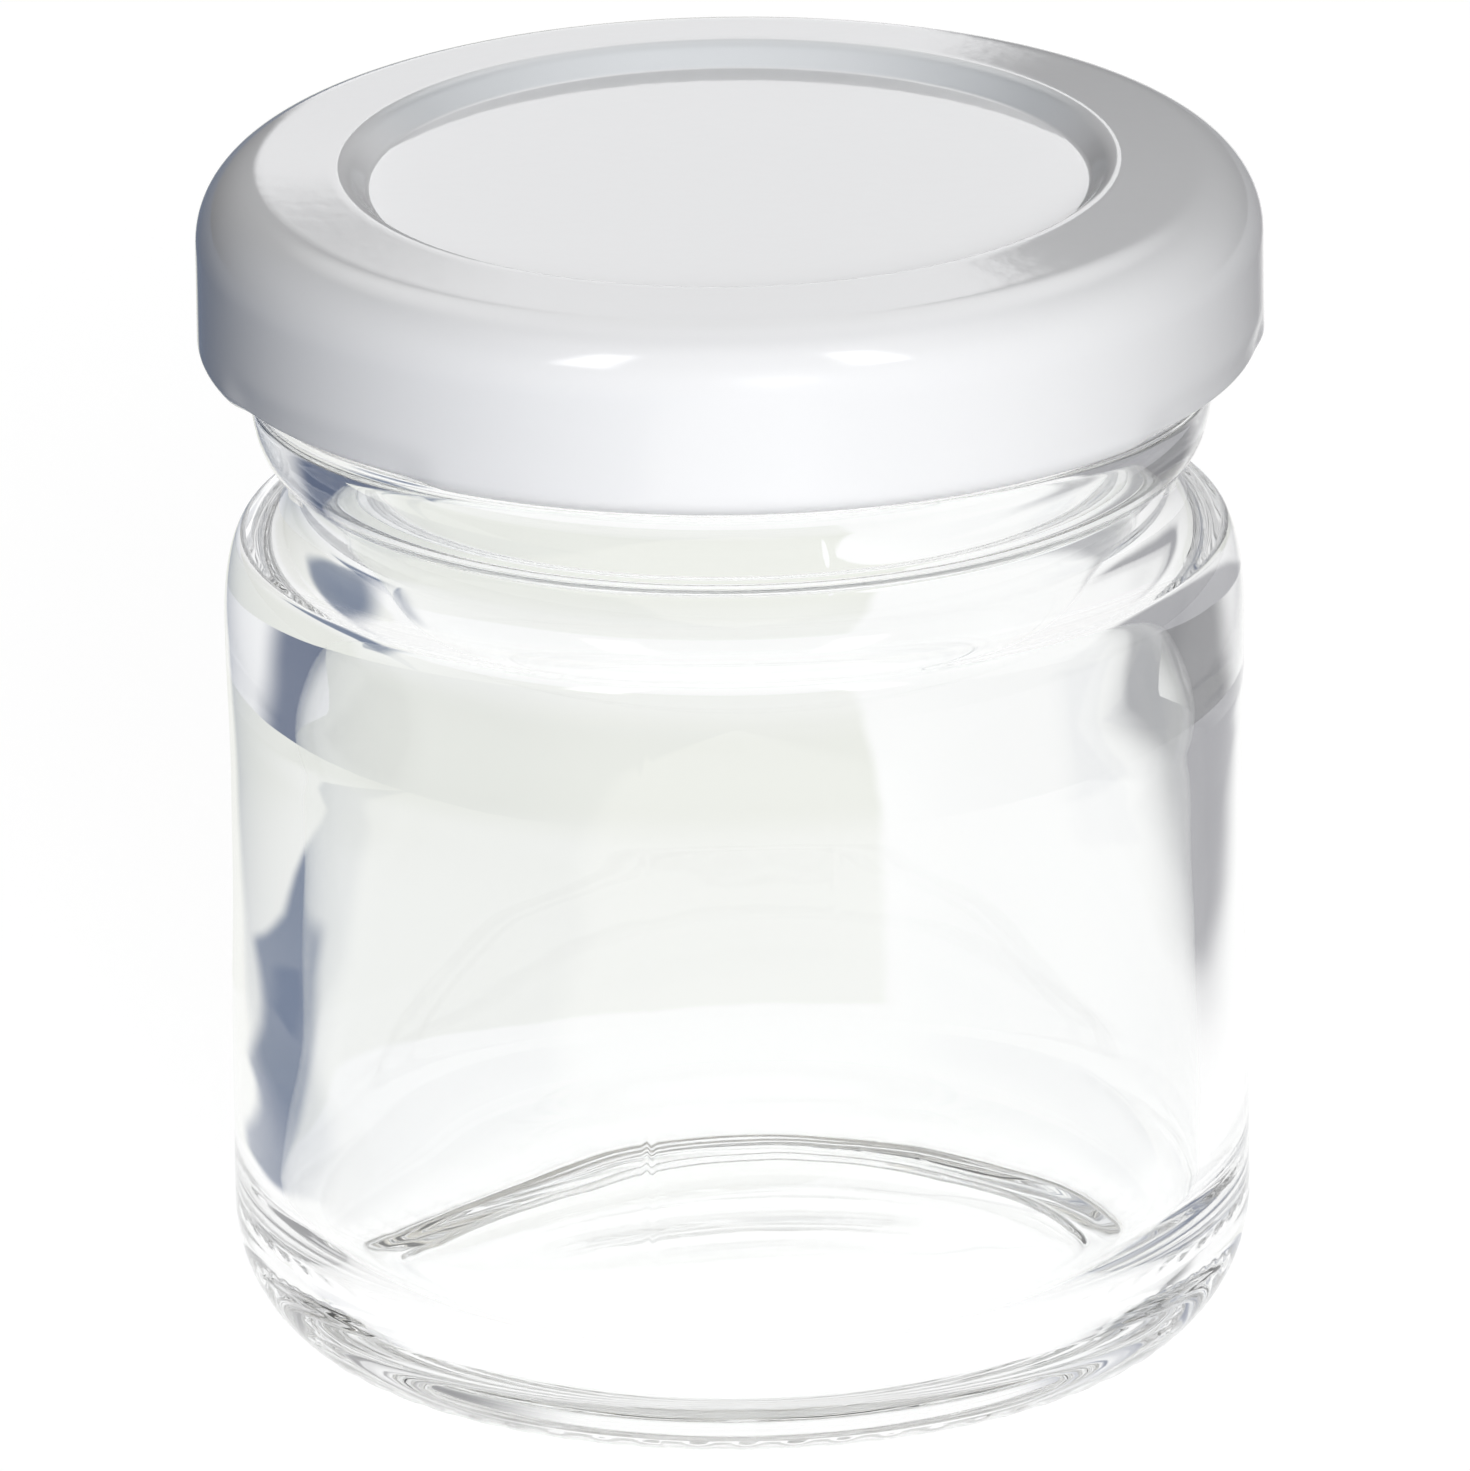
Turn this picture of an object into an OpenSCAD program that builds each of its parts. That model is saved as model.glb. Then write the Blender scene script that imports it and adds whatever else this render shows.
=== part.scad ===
// Small glass preserve jar with a twist-off steel cap and its sealing ring.
// Lengths are in millimetres, angles in degrees. The origin is on the jar's axis, in the plane it stands on.

/* [Glass body] */
// Height of the glass from its foot to the top of its rim
jar_h = 51.2; // [44:0.1:80]
// Diameter of the body at its two contact bands
body_d = 44.1; // [43.4:0.1:60]
// Thickness of the body wall above the heel
wall_t = 2.4; // [1.6:0.1:3.2]
// Thickness of the body wall below the shoulder
upper_wall_t = 3.3; // [2:0.1:3.6]
// How far the label panel lies inside the contact bands
panel_inset = 0.15; // [0.05:0.05:0.5]
// Height of the contact band above the heel
lower_band_h = 10.5; // [4:0.5:13]
// Height of the contact band below the shoulder
upper_band_h = 3; // [1:0.5:5]
// Height of the slope between a contact band and the label panel
band_slope_h = 1.2; // [0.5:0.1:2]
// Height that the shoulder climbs from the body to the neck
shoulder_h = 3.8; // [3:0.1:7]

/* [Base] */
// How far the heel's curve reaches in towards the foot
heel_reach = 4.2; // [2.5:0.1:6]
// Height of the heel's curve
heel_h = 5.4; // [3:0.1:7]
// Width of the flat ring that the jar stands on
foot_w = 2; // [1.5:0.1:4]
// Height of the step inside the ring that the jar stands on
foot_h = 0.3; // [0.2:0.05:0.8]
// Width of that step
foot_step_w = 0.6; // [0.4:0.1:1.5]
// Height of the middle of the underside
push_up_h = 0.6; // [0.4:0.05:2]
// Thickness of the glass floor above the middle of the underside
floor_t = 1.8; // [1.5:0.1:5]
// Height of the slight dome in the middle of the floor
floor_dome_h = 0.2; // [0.1:0.1:1]
// Radius inside the jar where the floor meets the wall
inner_heel_r = 5.5; // [2:0.1:7]

/* [Neck] */
// Thickness of the glass at the mouth
finish_t = 2.8; // [2.2:0.1:3]
// Radius of the two corners of the rim
rim_r = 0.9; // [0.5:0.05:1]
// How far the bead stands out of the neck
bead_out = 0.75; // [0.3:0.05:0.9]
// Height of the bead above its widest line
bead_over_h = 0.9; // [0.5:0.1:1.5]
// Height of the bead below its widest line
bead_under_h = 2.9; // [1:0.1:3]
// Distance from the cap's lower edge down to the bead
bead_gap = 0.8; // [0.5:0.1:3]
// Depth of the waist under the bead
waist_in = 1.15; // [0.5:0.05:1.3]
// Height of the waist under the bead
waist_h = 3.5; // [1.5:0.1:4]
// Radius of the waist's corners
waist_corner_r = 0.5; // [0.3:0.05:0.5]

/* [Thread] */
// Diameter over the thread ridges
thread_d = 42; // [41:0.1:43]
// How far a ridge stands out of the neck
ridge_out = 1; // [0.7:0.05:1.1]
// Height of a ridge where it leaves the neck
ridge_h = 1.3; // [1:0.05:1.4]
// Height of a ridge at its crest
crest_h = 0.7; // [0.4:0.05:0.9]
// Number of ridges, and of the cap's lugs
starts = 3; // [3:1:4]
// Height from one ridge's path to the next one's
start_rise = 3.2; // [3.1:0.05:3.6]
// Angle that each ridge spans
ridge_span = 75; // [60:1:80]
// Angle of a ridge that lies before the middle of the lug it holds
ridge_lead_in = 15; // [10:1:20]
// Distance from the rim down to the middle of a ridge above a lug
thread_drop = 5.1; // [4.8:0.1:6]

/* [Cap] */
// Thickness of the steel
steel_t = 0.2; // [0.16:0.01:0.24]
// Clearance between the rolled edge and the thread ridges
curl_gap = 0.3; // [0.2:0.05:0.6]
// Outer radius of the rolled edge
curl_r = 0.85; // [0.75:0.05:1]
// Outer radius of the shoulder between top and skirt
cap_shoulder_r = 3; // [2:0.1:3.4]
// Clearance between the mouth and the sunk panel's edge
well_gap = 0.6; // [0.5:0.05:1.2]
// Depth of the sunk panel in the cap's top
well_h = 1.1; // [0.8:0.05:1.6]
// Width of the slope round the sunk panel
well_slope_w = 0.8; // [0.5:0.05:1.2]
// Radius of the steel's bends round the sunk panel, on their inner side
bend_r = 0.3; // [0.15:0.05:0.35]
// Length of a lug along the rolled edge
lug_l = 9; // [6:0.1:10]
// Height of a lug
lug_h = 1; // [0.8:0.05:1.05]
// Clearance between a lug and the neck
lug_gap = 0.4; // [0.3:0.05:0.6]
// Height of the middle of a lug above the cap's lower edge
lug_lift = 0.6; // [0.55:0.05:0.7]

/* [Sealing ring] */
// Thickness of the ring where the rim presses it
seal_t = 0.9; // [0.6:0.05:1.2]
// Depth of the rim's print in the ring
print_h = 0.25; // [0.1:0.05:0.4]
// How far the ring reaches past the outside of the neck
seal_out = 0.9; // [0.6:0.05:1.1]
// Clearance between the ring and the steel beside it
seal_gap = 0.1; // [0.05:0.01:0.15]
// Clearance between the rim's sides and its print
print_gap = 0.2; // [0.1:0.05:0.3]

/* [Hidden] */

// Angle from the x axis to the middle of the first lug and of the ridge that it holds
first_lug = -22;
// Steps in a quarter of a large curve, and in one rounded corner
curve_steps = 10;
corner_steps = 4;
// Steps round the rolled edge, and the angle that it turns through
curl_steps = 16;
curl_turn = 285;
// Angle between two sections of a ridge, and the share of its height that is left at its very ends
ridge_step = 5;
ridge_end_share = 0.1;
// Depth that a ridge's root reaches into the glass
ridge_root = 0.5;
// Two points of an outline that lie closer than this are one point
same_point = 0.0001;
$fn = 96;

body_r = body_d / 2;
panel_r = body_r - panel_inset;
inner_r = body_r - wall_t;
upper_inner_r = body_r - upper_wall_t;
crest_r = thread_d / 2;
neck_r = crest_r - ridge_out;
mouth_r = neck_r - finish_t;
inside_corner_r = mouth_r + waist_corner_r;
waist_r = neck_r - waist_in;
waist_out_r = waist_r + waist_corner_r;
bead_r = neck_r + bead_out;
foot_out_r = body_r - heel_reach;
foot_in_r = foot_out_r - foot_w;
hollow_r = foot_in_r - foot_step_w;
floor_z = push_up_h + floor_t;

// Heights of the cap, counted from the rim that carries it
lead = starts * start_rise;
lug_z = jar_h - thread_drop - start_rise / 2;
cap_low_z = lug_z - lug_lift;
seal_top_z = jar_h + seal_t;
cap_top_z = seal_top_z + steel_t;
well_z = cap_top_z - well_h;

// Heights of the neck, counted from the cap's lower edge
bead_z = cap_low_z - bead_gap - bead_over_h;
bead_low_z = bead_z - bead_under_h;
waist_low_z = bead_low_z - waist_h;
band_top_z = waist_low_z - shoulder_h;
inner_shoulder = [inside_corner_r, band_top_z - waist_corner_r];

// Radii of the cap
cap_r = crest_r + curl_gap + 2 * curl_r;
curl_mid_r = cap_r - curl_r;
lug_in_r = neck_r + lug_gap;
lug_angle = lug_l / lug_in_r * 180 / PI;
well_r = mouth_r - well_gap;
well_floor_r = well_r - well_slope_w;
// Sideways step from the sunk panel's upper face to its lower face
well_skew = steel_t * tan(atan2(well_h, well_slope_w) / 2);

// Points of an arc of an ellipse about a centre, from angle a to angle b
function arc(centre, rx, ry, a, b, steps) =
  [for (i = [0:steps]) let (t = a + (b - a) * i / steps) [centre.x + rx * cos(t), centre.y + ry * sin(t)]];

// Points of a smooth rise or fall from p to q that starts and ends level
function swell(p, q, steps) =
  [
    for (i = [0:steps])
      let (share = i / steps) [p.x + (q.x - p.x) * share, p.y + (q.y - p.y) * (1 - cos(180 * share)) / 2]
  ];

function unit(v) = v / norm(v);

// An outline without the points that repeat the one before
function distinct(points) =
  [
    for (i = [0:len(points) - 1])
      if (i == 0 || norm(points[i] - points[max(i, 1) - 1]) > same_point) points[i]
  ];

// Points of the corner at q, between p and s, rounded to radius r
function corner(p, q, s, r) =
  let (
    u = unit(p - q),
    v = unit(s - q),
    half = acos(u * v) / 2,
    centre = q + unit(u + v) * r / sin(half),
    first = q + u * r / tan(half) - centre,
    last = q + v * r / tan(half) - centre,
    a = atan2(first.y, first.x),
    turn = (atan2(last.y, last.x) - a + 540) % 360 - 180
  )
  arc(centre, r, r, a, a + turn, corner_steps);

// Outer half of the jar's section, from the middle of its underside up to the rim
function jar_outside() = concat(
  swell([0, push_up_h], [hollow_r, foot_h], curve_steps),
  swell([hollow_r, foot_h], [foot_in_r, 0], corner_steps),
  arc([foot_out_r, heel_h], heel_reach, heel_h, -90, 0, curve_steps),
  [
    [body_r, heel_h + lower_band_h],
    [panel_r, heel_h + lower_band_h + band_slope_h],
    [panel_r, band_top_z - upper_band_h - band_slope_h],
    [body_r, band_top_z - upper_band_h]
  ],
  arc([waist_out_r, band_top_z], body_r - waist_out_r, shoulder_h, 0, 90, curve_steps),
  arc([waist_out_r, waist_low_z + waist_corner_r], waist_corner_r, waist_corner_r, 270, 180, corner_steps),
  arc([waist_out_r, bead_low_z - waist_corner_r], waist_corner_r, waist_corner_r, 180, 90, corner_steps),
  arc([waist_out_r, bead_z], bead_r - waist_out_r, bead_under_h, -90, 0, curve_steps),
  arc([neck_r, bead_z], bead_out, bead_over_h, 0, 90, corner_steps),
  arc([neck_r - rim_r, jar_h - rim_r], rim_r, rim_r, 0, 90, corner_steps)
);

// Inner half of the jar's section, from the rim down to the middle of the floor
function jar_inside() = concat(
  arc([mouth_r + rim_r, jar_h - rim_r], rim_r, rim_r, 90, 180, corner_steps),
  arc([inside_corner_r, waist_low_z], waist_corner_r, waist_corner_r, 180, 270, corner_steps),
  arc(inner_shoulder, upper_inner_r - inside_corner_r, shoulder_h, 90, 0, curve_steps),
  arc([inner_r - inner_heel_r, floor_z + inner_heel_r], inner_heel_r, inner_heel_r, 0, -90, curve_steps),
  swell([inner_r - inner_heel_r, floor_z], [0, floor_z + floor_dome_h], curve_steps)
);

// Section of one ridge at angle t from the lug's middle: two corners at its root and two at its crest.
// The flanks keep one slope, so the crest gets wider where the ridge gets lower towards its ends.
function ridge_section(t) =
  let (
    from_end = min(t + ridge_lead_in, ridge_span - ridge_lead_in - t),
    height = ridge_out * min(1, ridge_end_share + from_end / (2 * ridge_step)),
    flank = (ridge_h - crest_h) / 2 / ridge_out,
    root_half = ridge_h / 2 + flank * ridge_root,
    crest_half = ridge_h / 2 - flank * height,
    root = neck_r - ridge_root,
    crest = neck_r + height,
    z = lug_z + start_rise / 2 + lead * t / 360
  )
  [
    for (p = [[root, -root_half], [crest, -crest_half], [crest, crest_half], [root, root_half]])
      [p.x * cos(t), p.x * sin(t), z + p.y]
  ];

// One thread ridge: sections that climb round the neck, joined by triangles
module ridge() {
  count = round(ridge_span / ridge_step);
  points = [for (i = [0:count]) each ridge_section(i * ridge_span / count - ridge_lead_in)];
  sides = 4;
  skin = [
    for (i = [0:count - 1], j = [0:sides - 1])
      let (a = i * sides + j, b = i * sides + (j + 1) % sides)
      each [[a, b, b + sides], [a, b + sides, a + sides]]
  ];
  first = [for (j = [sides - 1:-1:0]) j];
  last = [for (j = [0:sides - 1]) count * sides + j];
  polyhedron(points, concat([first], skin, [last]));
}

// Jar, moulded in one piece of clear glass
module jar_glass() {
  color([0.84, 0.9, 0.9, 0.4]) {
    rotate_extrude() polygon(distinct(concat(jar_outside(), jar_inside())));
    for (i = [0:starts - 1]) rotate([0, 0, first_lug + i * 360 / starts]) ridge();
  }
}

// Section of the steel, from the middle of the top out to the skirt, round the rolled edge and back inside
function steel_section() =
  let (
    shoulder = [cap_r - cap_shoulder_r, cap_top_z - cap_shoulder_r],
    curl = [curl_mid_r, cap_low_z + curl_r],
    top_edge = [well_r, cap_top_z],
    floor_edge = [well_floor_r, well_z],
    under = [well_skew, -steel_t],
    middle = [0, well_z],
    under_r = cap_shoulder_r - steel_t
  )
  concat(
    [middle],
    corner(middle, floor_edge, top_edge, bend_r),
    corner(floor_edge, top_edge, [shoulder.x, cap_top_z], bend_r + steel_t),
    arc(shoulder, cap_shoulder_r, cap_shoulder_r, 90, 0, curve_steps),
    arc(curl, curl_r, curl_r, 0, -curl_turn, curl_steps),
    arc(curl, curl_r - steel_t, curl_r - steel_t, -curl_turn, 0, curl_steps),
    arc(shoulder, under_r, under_r, 0, 90, curve_steps),
    corner([shoulder.x, seal_top_z], top_edge + under, floor_edge + under, bend_r),
    corner(top_edge + under, floor_edge + under, middle - [0, steel_t], bend_r + steel_t),
    [middle - [0, steel_t]]
  );

// One lug: the rolled edge pressed in flat, with a round nose
module lug() {
  nose_r = lug_h / 2;
  rotate([0, 0, -lug_angle / 2])
    rotate_extrude(angle = lug_angle)
      translate([lug_in_r + nose_r, lug_z]) {
        circle(nose_r);
        translate([0, -nose_r]) square([curl_mid_r - lug_in_r - nose_r, lug_h]);
      }
}

// Cap, drawn from lacquered tinplate
module cap_shell() {
  color([0.95, 0.95, 0.95]) {
    rotate_extrude() polygon(distinct(steel_section()));
    for (i = [0:starts - 1]) rotate([0, 0, first_lug + i * 360 / starts]) lug();
  }
}

// Sealing ring, flowed into the channel between the sunk panel and the cap's shoulder
module cap_gasket() {
  shoulder = [cap_r - cap_shoulder_r, cap_top_z - cap_shoulder_r];
  fill_r = cap_shoulder_r - steel_t - seal_gap;
  out_r = neck_r + seal_out;
  low_z = jar_h - print_h;
  under_z = well_z - steel_t;
  beside_slope = well_skew + seal_gap * (1 + well_h / well_slope_w);
  outer_angle = acos((out_r - shoulder.x) / fill_r);

  // Radius of the ring's inner side, which follows the slope of the sunk panel
  function inner_side(z) = well_floor_r + beside_slope + max(0, z - under_z) * well_slope_w / well_h;

  color([0.93, 0.91, 0.85])
    rotate_extrude()
      polygon(distinct(concat(
        [[inner_side(seal_top_z), seal_top_z]],
        [[shoulder.x - seal_gap, seal_top_z]],
        arc(shoulder, fill_r, fill_r, 90, outer_angle, corner_steps),
        [
          [out_r, low_z],
          [neck_r + print_gap, low_z],
          [neck_r + print_gap, jar_h],
          [mouth_r - print_gap, jar_h],
          [mouth_r - print_gap, low_z],
          [inner_side(low_z), low_z]
        ],
        [if (under_z > low_z) [inner_side(under_z), under_z]]
      )));
}

jar_glass();
cap_shell();
cap_gasket();
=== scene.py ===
# A small preserve jar of clear glass with its white twist-off cap, alone on a white table.
import math

import bmesh
import bpy
import numpy as np
from mathutils import Matrix, Vector


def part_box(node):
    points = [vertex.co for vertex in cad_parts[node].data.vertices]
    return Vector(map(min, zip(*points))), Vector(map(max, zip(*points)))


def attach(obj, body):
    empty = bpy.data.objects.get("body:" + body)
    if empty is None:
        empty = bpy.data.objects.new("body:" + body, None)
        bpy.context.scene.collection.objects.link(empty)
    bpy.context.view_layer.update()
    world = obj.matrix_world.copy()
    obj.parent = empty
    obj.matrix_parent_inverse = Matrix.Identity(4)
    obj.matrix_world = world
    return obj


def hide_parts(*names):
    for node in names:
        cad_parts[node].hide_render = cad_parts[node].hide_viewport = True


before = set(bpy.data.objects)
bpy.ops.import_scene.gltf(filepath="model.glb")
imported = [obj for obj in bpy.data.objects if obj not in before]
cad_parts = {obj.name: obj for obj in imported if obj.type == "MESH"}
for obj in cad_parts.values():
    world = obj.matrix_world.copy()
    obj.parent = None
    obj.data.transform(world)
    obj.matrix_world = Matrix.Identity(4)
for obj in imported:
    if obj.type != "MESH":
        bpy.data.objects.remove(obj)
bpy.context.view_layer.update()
mm = 0.001


# The jar is pressed and blown in one piece of clear flint glass. Its inner face is uneven, off centre and
# narrows to the mouth in one long slope, because only the outside touches the mould. Two faint seams show
# where the mould halves met. Three thread ridges, a bead and a waist form the neck.
jar_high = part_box("jar_glass")[1]
body_r = jar_high[0]
rim_z = jar_high[2]

wall = 2.4 * mm
upper_wall = 3.3 * mm
panel_inset = 0.15 * mm
lower_band_h = 10.5 * mm
upper_band_h = 3 * mm
band_slope_h = 1.2 * mm
shoulder_h = 3.8 * mm
heel_reach = 4.2 * mm
heel_h = 5.4 * mm
foot_w = 2 * mm
foot_h = 0.12 * mm
foot_step_w = 1.1 * mm
push_up_h = 0.6 * mm
floor_t = 1.8 * mm
floor_dome_h = 0.2 * mm
inner_heel_r = 5.5 * mm
crest_r = 21 * mm
neck_r = 20 * mm
mouth_r = 17.2 * mm
rim_round = 0.9 * mm
waist_r = 18.85 * mm
waist_corner_r = 0.5 * mm
waist_foot_r = 2.2 * mm
waist_h = 3.5 * mm
bead_r = 20.75 * mm
bead_z = 42.2 * mm
bead_over_h = 0.9 * mm
bead_under_h = 2.9 * mm
blown_over_waist_h = mm
blown_under_shoulder_h = 4.5 * mm

inner_r = body_r - wall
upper_inner_r = body_r - upper_wall
panel_r = body_r - panel_inset
foot_out_r = body_r - heel_reach
foot_in_r = foot_out_r - foot_w
hollow_r = foot_in_r - foot_step_w
floor_z = push_up_h + floor_t
waist_out_r = waist_r + waist_corner_r
waist_foot_out_r = waist_r + waist_foot_r
bead_low_z = bead_z - bead_under_h
waist_low_z = bead_low_z - waist_h
band_top_z = waist_low_z - shoulder_h
panel_low_z = heel_h + lower_band_h + band_slope_h / 2
panel_high_z = band_top_z - upper_band_h - band_slope_h / 2
band_ease_h = 3 * band_slope_h
blown_high_z = waist_low_z + blown_over_waist_h
blown_low_z = band_top_z - blown_under_shoulder_h


def arc(centre, across, up, first, last, steps):
    """Points of an arc from angle first to angle last, in degrees."""
    turn = np.radians(np.linspace(first, last, steps + 1))
    return [(centre[0] + across * math.cos(t), centre[1] + up * math.sin(t)) for t in turn]


def swell(first, last, steps):
    """Points of a smooth rise or fall that starts and ends level."""
    shares = np.linspace(0, 1, steps + 1)
    climbs = (1 - np.cos(math.pi * shares)) / 2
    along = last[0] - first[0]
    up = last[1] - first[1]
    return [(first[0] + along * a, first[1] + up * b) for a, b in zip(shares, climbs)]


def slope(first, last, steps):
    """Points of a smooth change of radius with height that starts and ends upright."""
    return [(r, z) for z, r in swell(first[::-1], last[::-1], steps)]


least_gap = 0.001 * mm


def spaced(points, step):
    """The same outline with no two points further apart than step, and none twice."""
    out = [points[0]]
    for x, y in points[1:]:
        x0, y0 = out[-1]
        gap = math.hypot(x - x0, y - y0)
        if gap < least_gap:
            continue
        count = math.ceil(gap / step)
        out += [(x0 + (x - x0) * i / count, y0 + (y - y0) * i / count) for i in range(1, count + 1)]
    return out


jar_step = 0.8 * mm
thread_step = 0.09 * mm
outside = spaced(
    swell((0, push_up_h), (hollow_r, foot_h), 16)
    + swell((hollow_r, foot_h), (foot_in_r, 0), 8)
    + arc((foot_out_r, heel_h), heel_reach, heel_h, -90, 0, 24)
    + slope((body_r, panel_low_z - band_ease_h), (panel_r, panel_low_z + band_ease_h), 12)
    + slope((panel_r, panel_high_z - band_ease_h), (body_r, panel_high_z + band_ease_h), 12)
    + arc((waist_foot_out_r, band_top_z), body_r - waist_foot_out_r, shoulder_h, 0, 90, 20)
    + arc((waist_foot_out_r, waist_low_z + waist_foot_r), waist_foot_r, waist_foot_r, 270, 180, 16)
    + arc((waist_out_r, bead_low_z - waist_corner_r), waist_corner_r, waist_corner_r, 180, 90, 6)
    + arc((waist_out_r, bead_z), bead_r - waist_out_r, bead_under_h, -90, 0, 16)
    + arc((neck_r, bead_z), bead_r - neck_r, bead_over_h, 0, 90, 8),
    jar_step,
)
neck = spaced(
    [(neck_r, bead_z + bead_over_h), (neck_r, rim_z - rim_round)]
    + arc((neck_r - rim_round, rim_z - rim_round), rim_round, rim_round, 0, 90, 10),
    thread_step,
)
inside = spaced(
    arc((mouth_r + rim_round, rim_z - rim_round), rim_round, rim_round, 90, 180, 10)
    + slope((mouth_r, blown_high_z), (upper_inner_r, blown_low_z), 24)
    + arc((inner_r - inner_heel_r, floor_z + inner_heel_r), inner_heel_r, inner_heel_r, 0, -90, 30)
    + swell((inner_r - inner_heel_r, floor_z), (0, floor_z + floor_dome_h), 16),
    jar_step,
)

# Columns of the mesh round the jar, with close ones where a mould seam runs
seam_turn = math.radians(-100.4)
seam_half = 0.16 * mm
seam_h = 0.008 * mm
seam_fade_h = mm
seam_columns = np.linspace(-3, 3, 13) * seam_half / body_r
even_columns = np.linspace(0, 2 * math.pi, 480, endpoint=False)
near_seams = np.concatenate([seam_turn + seam_columns, seam_turn + math.pi + seam_columns])
columns = np.sort(np.concatenate([even_columns, near_seams]) % (2 * math.pi))


def rounded(share):
    """Eases a share between 0 and 1 at both its ends."""
    share = np.clip(share, 0, 1)
    return share * share * (3 - 2 * share)


def from_turn(turns, place):
    """Angle from a place round the axis, between minus and plus half a turn."""
    return (turns - place + math.pi) % (2 * math.pi) - math.pi


# The thread: where the ridges run, how they stand out of the neck and how they end
first_lug = math.radians(-22)
starts = 3
start_rise = 3.2 * mm
lug_z = 44.5 * mm
ridge_from = math.radians(-15)
ridge_to = math.radians(60)
ridge_ease = math.radians(7)
ridge_foot = 0.7 * mm
ridge_crest = 0.3 * mm


def thread(height, turns):
    """How far the thread stands out of the neck at each height and angle."""
    out = np.zeros_like(height)
    for i in range(starts):
        turn = from_turn(turns, first_lug + i * 2 * math.pi / starts)
        path = lug_z + start_rise / 2 + starts * start_rise * turn / (2 * math.pi)
        ends = rounded((turn - ridge_from) / ridge_ease) * rounded((ridge_to - turn) / ridge_ease)
        flank = rounded((ridge_foot - abs(height - path)) / (ridge_foot - ridge_crest))
        out = np.maximum(out, (crest_r - neck_r) * ends * flank)
    return out


def seams(radius, turns):
    """How far the two mould seams stand out of the glass."""
    nearest = np.minimum(abs(from_turn(turns, seam_turn)), abs(from_turn(turns, seam_turn + math.pi)))
    return seam_h * np.exp(-((nearest * radius / seam_half) ** 2))


# Short bars round the foot, six degrees apart, which keep the hot jar off the belt
foot_bars = 60
foot_bar_h = 0.06 * mm
foot_bar_low_z = 0.05 * mm
foot_bar_high_z = 0.9 * mm
bar_end_share = 0.25
bar_steepness = 1.5


def bars(height, turns):
    """How far the bars stand out of the heel just above the ring that the jar stands on."""
    share = (height - foot_bar_low_z) / (foot_bar_high_z - foot_bar_low_z)
    across = rounded(share / bar_end_share) * rounded((1 - share) / bar_end_share)
    along = rounded(0.5 + bar_steepness * np.cos(foot_bars * turns))
    return foot_bar_h * across * along


# The blown hollow sits a little to the right of the axis, but its floor is level and its mouth is true. Two
# waves run round it: each has its count, its share of the height and its start.
hollow_shift = 0.35 * mm
hollow_wave_h = 0.06 * mm
hollow_wave_shares = (2, 0.7, 0.7), (3, 0.3, 2.1)
level_floor_z = 3 * mm
floor_fade_h = 12 * mm
mouth_fade_h = 8 * mm


def uneven(turns):
    """Thickness that the blown inner face gains or loses."""
    waves = sum(share * np.sin(count * turns + start) for count, share, start in hollow_wave_shares)
    return hollow_wave_h * waves - hollow_shift * np.cos(turns)


def grid(outline, turns):
    """Radius, height and angle of every point of an outline that is turned round the axis."""
    radius, height = np.array(outline).T
    shape = (len(outline), len(turns))
    return [np.broadcast_to(a, shape).copy() for a in (radius[:, None], height[:, None], turns[None, :])]


weld = 0.0001 * mm


def turned(name, radius, height, turns, ring=False):
    """A closed mesh from rows of points round the axis; a ring's last row joins its first."""
    rows, count = radius.shape
    points = np.stack([radius * np.cos(turns), radius * np.sin(turns), height], -1).reshape(-1, 3)
    row = np.arange(rows if ring else rows - 1)[:, None] * count
    column = np.arange(count)[None, :]
    over = (column + 1) % count
    above = (row + count) % (rows * count)
    faces = np.stack([row + column, row + over, above + over, above + column], -1).reshape(-1, 4)
    mesh = bpy.data.meshes.new(name)
    mesh.from_pydata(points.tolist(), [], faces.tolist())
    shaped = bmesh.new()
    shaped.from_mesh(mesh)
    bmesh.ops.remove_doubles(shaped, verts=shaped.verts, dist=weld)
    bmesh.ops.recalc_face_normals(shaped, faces=shaped.faces)
    shaped.to_mesh(mesh)
    shaped.free()
    mesh.shade_smooth()
    made = bpy.data.objects.new(name, mesh)
    bpy.context.scene.collection.objects.link(made)
    return made


radius, height, turns = grid(outside, columns)
on_heel = radius > foot_out_r
on_body = rounded((height - heel_h / 2) / heel_h) * rounded((waist_low_z - height) / seam_fade_h)
radius += seams(radius, turns) * on_body + bars(height, turns) * on_heel
lower = (radius, height, turns)

radius, height, turns = grid(neck, columns)
radius += thread(height, turns) * (radius > neck_r - least_gap)
upper = (radius, height, turns)

radius, height, turns = grid(inside, columns)
above_floor = rounded((height - level_floor_z) / floor_fade_h)
under_mouth = rounded((rim_z - height) / mouth_fade_h)
radius -= uneven(turns) * under_mouth * above_floor
within = (radius, height, turns)

jar = turned("jar", *[np.concatenate(parts) for parts in zip(lower, upper, within)])


class Socket:
    """An output of a node, which Python's operators join to others with Math nodes."""

    def __init__(self, finish, socket):
        self.finish = finish
        self.socket = socket

    def maths(self, operation, *values):
        return self.finish.node("ShaderNodeMath", {"operation": operation}, dict(enumerate(values)))

    def __add__(self, other):
        return self.maths("ADD", self, other)

    def __sub__(self, other):
        return self.maths("SUBTRACT", self, other)

    def __rsub__(self, other):
        return self.maths("SUBTRACT", other, self)

    def __mul__(self, other):
        return self.maths("MULTIPLY", self, other)

    __radd__ = __add__
    __rmul__ = __mul__

    def ease(self, low, high):
        """Rises smoothly from 0 where this is low to 1 where it is high."""
        settings = {"interpolation_type": "SMOOTHSTEP"}
        values = {"Value": self, "From Min": low, "From Max": high}
        return self.finish.node("ShaderNodeMapRange", settings, values)


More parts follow.
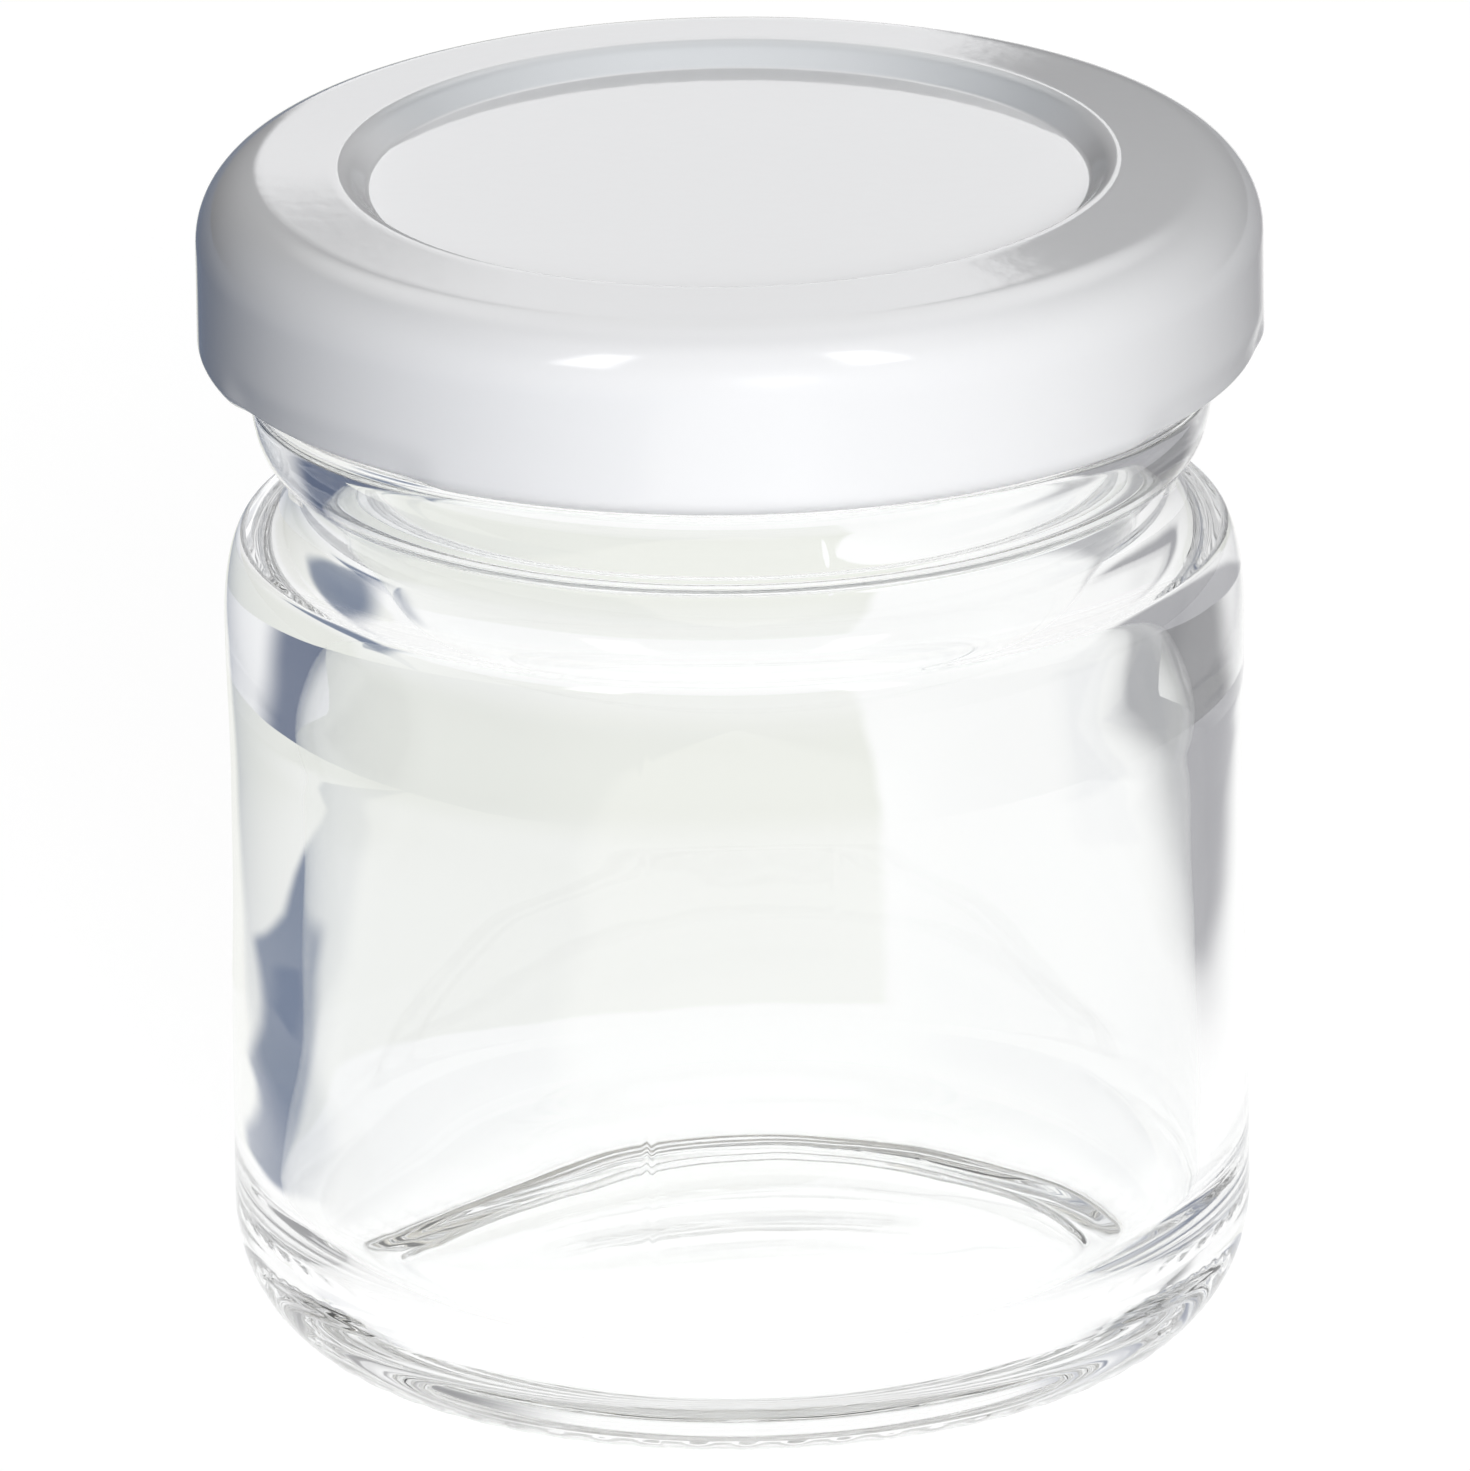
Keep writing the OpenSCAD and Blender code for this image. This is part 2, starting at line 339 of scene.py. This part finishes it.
class Finish:
    """The nodes of one material, or of the world."""

    def __init__(self, owner):
        owner.use_nodes = True
        self.tree = owner.node_tree
        self.tree.nodes.clear()

    def node(self, kind, settings={}, inputs={}, output=0):
        """Makes a node, sets it, fills its sockets with values or links and returns one output."""
        made = self.tree.nodes.new(kind)
        for name, value in settings.items():
            setattr(made, name, value)
        for name, value in inputs.items():
            if isinstance(value, Socket):
                self.tree.links.new(value.socket, made.inputs[name])
            else:
                made.inputs[name].default_value = value
        return Socket(self, made.outputs[output]) if made.outputs else None

    def place(self):
        """Place on the object, in metres."""
        return self.node("ShaderNodeTexCoord", output="Object")

    def apart(self, vector):
        """The three parts of a place or a direction."""
        return [self.node("ShaderNodeSeparateXYZ", {}, {0: vector}, output=i) for i in range(3)]

    def rays(self, *names):
        """Which kind of ray asks: one output for each name."""
        return [self.node("ShaderNodeLightPath", output=name) for name in names]

    def noise(self, where, size, detail=2):
        """Smooth noise from 0 to 1 with features of about the given size."""
        return self.node("ShaderNodeTexNoise", {}, {"Vector": where, "Scale": 1 / size, "Detail": detail})

    def mixed(self, share, first, second):
        """A colour between two, by share."""
        settings = {"data_type": "RGBA"}
        return self.node("ShaderNodeMix", settings, {0: share, 6: first, 7: second}, output=2)

    def bump(self, relief, depth):
        return self.node("ShaderNodeBump", {}, {"Height": relief, "Distance": depth})


clear_glass = bpy.data.materials.new("clear_glass")
finish = Finish(clear_glass)
ripple_l = 9 * mm
ripple_h = 0.02 * mm
ripple = finish.noise(finish.place(), ripple_l)
surface = finish.node(
    "ShaderNodeBsdfPrincipled",
    {},
    {
        "Base Color": (0.995, 1, 0.997, 1),
        "Roughness": 0,
        "IOR": 1.52,
        "Transmission Weight": 1,
        "Normal": finish.bump(ripple, ripple_h),
    },
)
finish.node("ShaderNodeOutputMaterial", {}, {"Surface": surface})
jar.data.materials.append(clear_glass)
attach(jar, "jar")
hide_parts("jar_glass")


# The sealing ring is soft plastisol, poured into the cap's channel while the cap spins and then baked. Its
# outer edge creeps up the cap's shoulder in a smooth meniscus, and the rim has left its print in it.
seal_low, seal_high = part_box("cap_gasket")
seal_r = seal_high[0]
seal_top_z = seal_high[2]
seal_low_z = seal_low[2]
seal_in_r = 16.15 * mm
print_gap = 0.2 * mm
seal_round = 0.18 * mm
print_round = seal_round / 2
cap_low, cap_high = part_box("cap_shell")
cap_r = cap_high[0]
cap_top_z = cap_high[2]
cap_low_z = cap_low[2]
cap_shoulder_r = 3 * mm
steel = 0.2 * mm
seal_gap = 0.1 * mm
seal_step = 0.4 * mm
fill_r = cap_shoulder_r - steel - seal_gap

# The ring round the cap's top leans outwards a little, down to the shoulder
ring_lean = 5
ring_in_r = 16.9 * mm
lean_across = math.sin(math.radians(ring_lean))
lean_up = math.cos(math.radians(ring_lean))
ring_out_r = cap_r - cap_shoulder_r * (1 - lean_across)
ring_drop = (ring_out_r - ring_in_r) * lean_across / lean_up
shoulder = (cap_r - cap_shoulder_r, cap_top_z - ring_drop - cap_shoulder_r * lean_up)
fill_turn = math.degrees(math.acos((seal_r - shoulder[0]) / fill_r))


def sloped(under, last, steps):
    """Points of the ring and the shoulder, at a depth under the cap's outside, down to angle last."""
    bend = cap_shoulder_r - under
    return [(ring_in_r, cap_top_z - under)] + arc(shoulder, bend, bend, 90 - ring_lean, last, steps)


print_out_r = neck_r + print_gap
print_in_r = mouth_r - print_gap
seal_outline = spaced(
    sloped(steel + seal_gap, fill_turn, 12)
    + arc((seal_r - seal_round, seal_low_z + seal_round), seal_round, seal_round, 0, -90, 5)
    + arc((print_out_r + print_round, seal_low_z + print_round), print_round, print_round, -90, -180, 4)
    + [(print_out_r, rim_z), (print_in_r, rim_z)]
    + arc((print_in_r - print_round, seal_low_z + print_round), print_round, print_round, 0, -90, 4)
    + arc((seal_in_r + seal_round, seal_low_z + seal_round), seal_round, seal_round, -90, -180, 5),
    seal_step,
)
radius, height, turns = grid(seal_outline, np.linspace(0, 2 * math.pi, 240, endpoint=False))
ring = turned("sealing_ring", radius, height, turns, ring=True)

soft_plastisol = bpy.data.materials.new("soft_plastisol")
finish = Finish(soft_plastisol)
flow_l = 2.5 * mm
flow_h = 0.03 * mm
flow = finish.noise(finish.place(), flow_l)
surface = finish.node(
    "ShaderNodeBsdfPrincipled",
    {},
    {
        "Base Color": finish.mixed(flow, (0.8, 0.76, 0.66, 1), (0.86, 0.83, 0.75, 1)),
        "Roughness": 0.35 + 0.15 * flow,
        "IOR": 1.5,
        "Normal": finish.bump(flow, flow_h),
    },
)
finish.node("ShaderNodeOutputMaterial", {}, {"Surface": surface})
ring.data.materials.append(soft_plastisol)
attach(ring, "seal")
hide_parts("cap_gasket")


# The cap is drawn from tinplate a fifth of a millimetre thick and lacquered glossy white. A panel is sunk
# in its top, its edge is rolled inwards into a hollow curl, and the curl is pressed in flat at three places
# to make the lugs.
well_r = 16.5 * mm
well_floor_r = 15.6 * mm
well_h = mm
well_z = cap_top_z - well_h
lip_r = 0.9 * mm
bend_r = 0.3 * mm
curl_r = 0.85 * mm
curl_turn = 285
curl = (cap_r - curl_r, cap_low_z + curl_r)
lug_l = 9 * mm
lug_in_r = 20.4 * mm
skirt_end_h = 1.5 * mm
steel_step = 0.35 * mm


def corner(p, q, s, r, steps):
    """Points of the corner at q, between p and s, rounded to radius r."""
    p, q, s = Vector(p), Vector(q), Vector(s)
    u = (p - q).normalized()
    v = (s - q).normalized()
    half = math.acos(u.dot(v)) / 2
    centre = q + (u + v).normalized() * (r / math.sin(half))
    first = q + u * (r / math.tan(half)) - centre
    last = q + v * (r / math.tan(half)) - centre
    a = math.degrees(math.atan2(first.y, first.x))
    turn = (math.degrees(math.atan2(last.y, last.x)) - a + 540) % 360 - 180
    return arc(centre, r, r, a, a + turn, steps)


middle = Vector((0, well_z))
top_edge = Vector((well_r, cap_top_z))
floor_edge = Vector((well_floor_r, well_z))
skew = steel * math.tan(math.atan2(well_h, well_r - well_floor_r) / 2)
under = Vector((skew, -steel))
steel_outline = spaced(
    [tuple(middle)]
    + corner(middle, floor_edge, top_edge, bend_r, 8)
    + corner(floor_edge, top_edge, (ring_out_r, cap_top_z - ring_drop), lip_r, 12)
    + sloped(0, 0, 28)[1:]
    + [(cap_r, curl[1] + skirt_end_h)]
    + arc(curl, curl_r, curl_r, 0, -curl_turn, 32)
    + arc(curl, curl_r - steel, curl_r - steel, -curl_turn, 0, 32)
    + sloped(steel, 0, 20)[:0:-1]
    + corner((ring_out_r, seal_top_z - ring_drop), top_edge + under, floor_edge + under, lip_r - steel, 8)
    + corner(top_edge + under, floor_edge + under, middle - Vector((0, steel)), bend_r + steel, 6)
    + [(0, well_z - steel)],
    steel_step,
)

# How a lug is pressed: where the dent in the skirt begins, and the flat oval that the curl becomes
dent_h = 2.2 * mm
dent_top_z = cap_low_z + dent_h
dent = 0.22 * mm
dent_drop = 0.2 * mm
lug_ease = math.radians(7)
lug_half_turn = lug_l / lug_in_r / 2
lug_half_w = (cap_r - dent - lug_in_r) / 2
lug_half_h = 0.45 * mm


def pressed(radius, height, turns):
    """The cap's points after its lugs are pressed in."""
    share = np.zeros_like(radius)
    for i in range(starts):
        turn = abs(from_turn(turns, first_lug + i * 2 * math.pi / starts))
        share = np.maximum(share, rounded((lug_half_turn + lug_ease - turn) / lug_ease))
    bent = rounded((dent_top_z - height) / (dent_top_z - curl[1]))
    in_curl = (height < curl[1]) | (radius < curl[0])
    reach = curl_r + least_gap
    in_curl &= (abs(radius - curl[0]) < reach) & (abs(height - curl[1]) < reach)
    across = (radius - curl[0]) / curl_r
    up = (height - curl[1]) / curl_r
    new_radius = np.where(in_curl, lug_in_r + lug_half_w + lug_half_w * across, radius - dent * bent)
    new_height = np.where(in_curl, curl[1] - dent_drop + lug_half_h * up, height - dent_drop * bent)
    low = (height < dent_top_z) & (radius > lug_in_r)
    share = share * low
    return radius + (new_radius - radius) * share, height + (new_height - height) * share


radius, height, turns = grid(steel_outline, np.linspace(0, 2 * math.pi, 360, endpoint=False))
radius, height = pressed(radius, height, turns)
cap = turned("cap", radius, height, turns)

white_lacquer = bpy.data.materials.new("white_lacquer")
finish = Finish(white_lacquer)
peel_l = 0.9 * mm
sheet_l = 14 * mm
lacquer_h = 0.004 * mm
where = finish.place()
peel = finish.noise(where, peel_l)
sheet = finish.noise(where, sheet_l, 1)

# Painted shade: the lacquer on the back of the sunk panel's wall is painted a little greyer
wall_shade_soft = 0.1 * mm
wall_shade_fade_w = 0.25 * mm
wall_shade_back_shares = 0.2, 0.6
wall_shade_in = well_floor_r - wall_shade_soft, well_floor_r + wall_shade_soft
wall_shade_out = well_r + wall_shade_soft, well_r + wall_shade_soft + wall_shade_fade_w
wall_shade_back = [share * well_r for share in wall_shade_back_shares]
x, y, z = finish.apart(where)
squared = x * x + y * y
from_axis = squared.maths("SQRT", squared)
wall_painted_shade = from_axis.ease(*wall_shade_in) * (1 - from_axis.ease(*wall_shade_out)) * y.ease(*wall_shade_back)
lacquer = finish.mixed(sheet, (0.82, 0.825, 0.84, 1), (0.84, 0.845, 0.855, 1))
# The lacquer's colour takes the painted shade on the back of the panel's wall
surface = finish.node(
    "ShaderNodeBsdfPrincipled",
    {},
    {
        "Base Color": finish.mixed(wall_painted_shade, lacquer, (0.6, 0.62, 0.64, 1)),
        "Roughness": 0.04 + 0.03 * peel,
        "IOR": 1.5,
        "Normal": finish.bump(peel + 4 * sheet, lacquer_h),
    },
)
finish.node("ShaderNodeOutputMaterial", {}, {"Surface": surface})
cap.data.materials.append(white_lacquer)
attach(cap, "cap")
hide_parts("cap_shell")


# The table is a wide sheet of smooth white card that lies under the jar. Seen straight, and near the jar
# through the glass, it is as white as the wall behind it, and it keeps a little of the jar's shadow. For
# all rays but the camera's it is painted: painted shade makes it blue-grey to the left and grey to the
# right of the jar, standing in for the jar's shadow and a darker room, and a warm grey patch is painted
# behind the jar.
table_half = 3
table_z = -0.05 * mm
table_mesh = bpy.data.meshes.new("table")
corners = [(i * table_half, j * table_half, table_z) for i, j in ((-1, -1), (1, -1), (1, 1), (-1, 1))]
table_mesh.from_pydata(corners, [], [(0, 1, 2, 3)])
table = bpy.data.objects.new("table", table_mesh)
bpy.context.scene.collection.objects.link(table)

# Where painted shade darkens the sheet to the left and right of the jar, for the jar's shadow and a darker
# room, and where a painted warm grey patch behind the jar ends
shade_left_from = 40 * mm, 50 * mm
shade_left_front = 14 * mm, 28 * mm
shade_left_back = 54 * mm, 60 * mm
shade_right_from = 38 * mm, 70 * mm
shade_right_front = 24 * mm, 46 * mm
patch_side = 7 * mm
patch_soft = 0.6 * mm
patch_centre_y = -73 * mm
patch_r = 117 * mm, 119 * mm
patch_back = 60 * mm, 120 * mm
white = 1, 1, 1, 1
black = 0, 0, 0, 1
painted_shade_blue = 0.19, 0.23, 0.32, 1
painted_shade_grey = 0.42, 0.42, 0.44, 1
painted_warm_grey = 0.84, 0.85, 0.8, 1

white_sheet = bpy.data.materials.new("white_sheet")
finish = Finish(white_sheet)
straight, mirrored, through, scattered = finish.rays(
    "Is Camera Ray", "Is Glossy Ray", "Is Transmission Ray", "Diffuse Depth"
)
x, y, z = finish.apart(finish.place())
far_back = y.ease(*shade_left_back)
off_left = far_back.maths("MAXIMUM", far_back, 1 - y.ease(*shade_left_front))
shade_on_left = (-1 * x).ease(*shade_left_from) * (1 - off_left * through)
shade_on_right = x.ease(*shade_right_from) * (1 - through * (1 - y.ease(*shade_right_front)))
squared = x * x + (y - patch_centre_y) * (y - patch_centre_y)
from_centre = squared.maths("SQRT", squared)
on_patch = (patch_side - x).ease(-patch_soft, patch_soft) * from_centre.ease(*patch_r)
on_patch *= 0.5 + 0.5 * y.ease(*patch_back)
# Painted shade to the left and right and a painted warm grey patch; the camera gets plain white
paint = finish.mixed(on_patch, white, painted_warm_grey)
paint = finish.mixed(shade_on_left, paint, painted_shade_blue)
paint = finish.mixed(shade_on_right, paint, painted_shade_grey)
paint = finish.mixed(straight, paint, white)

# How bright the sheet is, also for the light that it throws through the glass onto the underside of the cap
table_light = 1.09
inner_light = 2.9, 2.9, 2.9, 1
shadow_share = 0.12
matt_share = 0.85
glow = finish.mixed(scattered * through, paint, inner_light)
lit = finish.node("ShaderNodeEmission", {}, {"Color": glow, "Strength": table_light})
# The sheet's matt colour carries the same painted shade, so less light bounces up from its left and right
matt = finish.node("ShaderNodeBsdfDiffuse", {}, {"Color": finish.mixed(matt_share, black, paint)})
reflected = mirrored * (1 - through)
lit_share = (straight + reflected + through) * (1 - shadow_share)
surface = finish.node("ShaderNodeMixShader", {}, {0: lit_share, 1: matt, 2: lit})
finish.node("ShaderNodeOutputMaterial", {}, {"Surface": surface})
table_mesh.materials.append(white_sheet)


# The room: white where the camera looks straight at it. The jar and the cap see a bright window behind
# them, a darker room on the right, a blue-grey corner on the left, a skylight and two soft boxes above the
# camera.
world = bpy.data.worlds.new("room")
bpy.context.scene.world = world
finish = Finish(world)
straight, mirrored, through, scattered = finish.rays(
    "Is Camera Ray", "Is Glossy Ray", "Is Transmission Ray", "Diffuse Depth"
)
dx, dy, dz = finish.apart(finish.node("ShaderNodeTexCoord", output="Generated"))
degree = math.pi / 180
from_back = dx.maths("ARCTAN2", dx, dy)
from_front = dx.maths("ARCTAN2", dx, -1 * dy)
above = dz.maths("ARCSINE", dz)
turn_from_back = from_back.maths("ABSOLUTE", from_back)
turn_from_front = from_front.maths("ABSOLUTE", from_front)

# What lights matt surfaces: a low soft window in front, a little to the right, and a pale wall behind
window_turn = 10 * degree
window_rise = 21 * degree
window_edge = 60
window_light = 33.5
wall_rise = 20 * degree
wall_edge = 12
wall_light = 2.6
room_light = 0.02
level = math.cos(window_rise)
window = Vector((math.sin(window_turn) * level, -math.cos(window_turn) * level, math.sin(window_rise)))
to_window = dx * window.x + dy * window.y + dz * window.z
to_window = to_window.maths("MAXIMUM", to_window, 0)
to_wall = dy * math.cos(wall_rise) + dz * math.sin(wall_rise)
to_wall = to_wall.maths("MAXIMUM", to_wall, 0)
soft = room_light + window_light * to_window.maths("POWER", to_window, window_edge)
soft += wall_light * to_wall.maths("POWER", to_wall, wall_edge)

# What glossy surfaces mirror of the room: dim at the sides, bluer to the left, and a pale ceiling
aside_from = 5 * degree, 40 * degree
left_from = 20 * degree, 60 * degree
front_from = 110 * degree, 150 * degree
ceiling_from = 45 * degree, 68 * degree
dim_grey = 0.3, 0.3, 0.31, 1
dark_grey = 0.03, 0.03, 0.035, 1
dark_blue = 0.06, 0.09, 0.16, 1
ceiling_light = 1.1, 1.1, 1.12, 1
in_front = turn_from_back.ease(*front_from)
mirror = finish.mixed(turn_from_back.ease(*aside_from), dim_grey, dark_grey)
mirror = finish.mixed((-1 * from_back).ease(*left_from), mirror, dark_blue)
mirror = finish.mixed(in_front, mirror, dim_grey)
mirror = finish.mixed(above.ease(*ceiling_from), mirror, ceiling_light)

# A bright window behind, whose two sides lean outwards and which is brighter towards the top
pane_left = -6 * degree
pane_left_lean = 2.4 * degree
left_lean_from = 15 * degree, 23 * degree
pane_left_soft = 1.6 * degree
pane_right = 1.4 * degree, 2.4 * degree
pane_right_lean = 1.2 * degree
right_lean_from = 18 * degree, 28 * degree
pane_top = 40 * degree, 60 * degree
pane_bright_from = 8 * degree, 24 * degree
pane_low_light = 1.75, 1.75, 1.77, 1
pane_high_light = 2.4, 2.4, 2.42, 1
past_left = from_back - pane_left - pane_left_lean * above.ease(*left_lean_from)
past_right = from_back - pane_right_lean * above.ease(*right_lean_from)
on_pane = past_left.ease(-pane_left_soft, pane_left_soft) * (1 - past_right.ease(*pane_right))
on_pane *= 1 - above.ease(*pane_top)
pane = finish.mixed(above.ease(*pane_bright_from), pane_low_light, pane_high_light)
mirror = finish.mixed(on_pane, mirror, pane)

# A round skylight, high up behind
skylight_rise = 56 * degree
skylight_edge = math.cos(32 * degree), math.cos(10 * degree)
skylight = 2.9, 2.9, 2.9, 1
to_skylight = dy * math.cos(skylight_rise) + dz * math.sin(skylight_rise)
mirror = finish.mixed(to_skylight.ease(*skylight_edge), mirror, skylight)

# Two soft boxes, one on each side of the camera
box_turn = 36.5 * degree
box_rise = 48 * degree
box_half_w = 7 * degree
box_half_h = 12 * degree
box_soft = 3 * degree
box_light = 6, 6, 6, 1
aside = turn_from_front - box_turn
aside = aside.maths("ABSOLUTE", aside)
rise = above - box_rise
rise = rise.maths("ABSOLUTE", rise)
on_box = 1 - aside.ease(box_half_w - box_soft, box_half_w + box_soft)
on_box *= 1 - rise.ease(box_half_h - box_soft, box_half_h + box_soft)
mirror = finish.mixed(on_box, mirror, box_light)

# What glass passes on: white behind, in front and above, grey to the right and blue-grey to the left. The
# underside of the cap, which is lit through the glass, gets white light from all round.
low_under = 20 * degree, 45 * degree
grey_side_from = 14 * degree, 30 * degree
blue_side_from = 26 * degree, 42 * degree
side_grey = 0.27, 0.27, 0.28, 1
side_blue = 0.13, 0.16, 0.24, 1
at_side = (1 - above.ease(*low_under)) * (1 - in_front)
passed = finish.mixed(from_back.ease(*grey_side_from) * at_side, white, side_grey)
passed = finish.mixed((-1 * from_back).ease(*blue_side_from) * at_side, passed, side_blue)
passed = finish.mixed(scattered, passed, inner_light)

matt_light = finish.node("ShaderNodeBackground", {}, {"Color": soft, "Strength": 1})
mirror_light = finish.node("ShaderNodeBackground", {}, {"Color": mirror, "Strength": 1})
glass_light = finish.node("ShaderNodeBackground", {}, {"Color": passed, "Strength": 1})
plain_light = finish.node("ShaderNodeBackground", {}, {"Color": white, "Strength": 1})
surface = finish.node("ShaderNodeMixShader", {}, {0: mirrored, 1: matt_light, 2: mirror_light})
surface = finish.node("ShaderNodeMixShader", {}, {0: through, 1: surface, 2: glass_light})
surface = finish.node("ShaderNodeMixShader", {}, {0: straight, 1: surface, 2: plain_light})
finish.node("ShaderNodeOutputWorld", {}, {"Surface": surface})


# The camera looks down at the jar from the front, from so far away that the jar hardly tapers.
look_at = Vector((-0.057 * mm, 0, 26.05 * mm))
clip_near = 0.1
clip_far = 20
distance = 1.5
camera_height = math.radians(19.56)
camera_roll = math.radians(0.8)
pixels_per_mm = 23.11
photo_w = 1470
sensor_w = 36
view = Vector((0, math.cos(camera_height), -math.sin(camera_height)))
right = Vector((1, 0, 0))
up = right.cross(view)
tilted_right = right * math.cos(camera_roll) - up * math.sin(camera_roll)
tilted_up = right * math.sin(camera_roll) + up * math.cos(camera_roll)
camera = bpy.data.objects.new("camera", bpy.data.cameras.new("camera"))
camera.data.sensor_fit = "HORIZONTAL"
camera.data.sensor_width = sensor_w
camera.data.lens = pixels_per_mm * (distance / mm) * sensor_w / photo_w
camera.data.clip_start = clip_near
camera.data.clip_end = clip_far
turning = Matrix([tilted_right, tilted_up, -view]).transposed().to_4x4()
camera.matrix_world = Matrix.Translation(look_at - view * distance) @ turning
bpy.context.scene.collection.objects.link(camera)
bpy.context.scene.camera = camera
bpy.context.scene.view_settings.view_transform = "Standard"

# Light that runs round inside the thick glass needs more than the usual bounces to come out again
most_bounces = 96
bpy.context.scene.cycles.max_bounces = most_bounces
bpy.context.scene.cycles.glossy_bounces = most_bounces
bpy.context.scene.cycles.transmission_bounces = most_bounces
